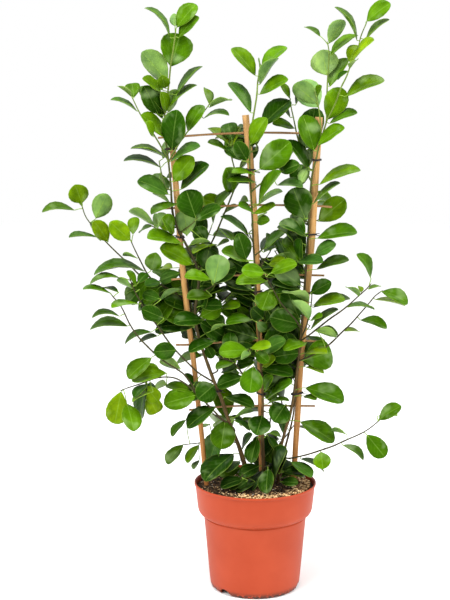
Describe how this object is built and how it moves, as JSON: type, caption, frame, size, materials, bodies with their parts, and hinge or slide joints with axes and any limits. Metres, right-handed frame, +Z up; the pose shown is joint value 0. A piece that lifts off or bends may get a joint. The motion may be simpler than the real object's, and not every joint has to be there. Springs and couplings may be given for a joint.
{
  "type": "potted small-leaved fig on a bamboo rack",
  "caption": "Bushy small-leaved fig trained upright on a fan-shaped bamboo rack, growing in soil in a round terracotta-coloured nursery pot.",
  "frame": {"origin": "centre of the pot's flat bottom, on the surface it stands on", "axes": "+Z up, front of the rack towards -Y, +X to the viewer's right"},
  "size_m": [0.6237, 0.2803, 0.994],
  "materials": {
    "terracotta_plastic": "satin moulded plastic",
    "potting_mix": "rough, crumbly",
    "bamboo": "satin",
    "rod_wood": "satin",
    "tie_wire": "coated wire",
    "foliage": "satin leaves and stems"
  },
  "bodies": {
    "root": {"pot": "terracotta_plastic", "soil": "potting_mix", "cane_left": "bamboo", "cane_middle": "bamboo", "cane_right": "bamboo", "crossbar_1": "rod_wood", "crossbar_2": "rod_wood", "crossbar_3": "rod_wood", "crossbar_4": "rod_wood", "crossbar_5": "rod_wood", "tie_1": "tie_wire", "tie_2": "tie_wire", "tie_3": "tie_wire", "tie_4": "tie_wire", "tie_5": "tie_wire", "tie_6": "tie_wire", "tie_7": "tie_wire", "tie_8": "tie_wire", "tie_9": "tie_wire", "tie_10": "tie_wire", "leafy_stem_left": "foliage", "leafy_stem_middle": "foliage", "leafy_stem_right": "foliage"}
  },
  "joints": []
}
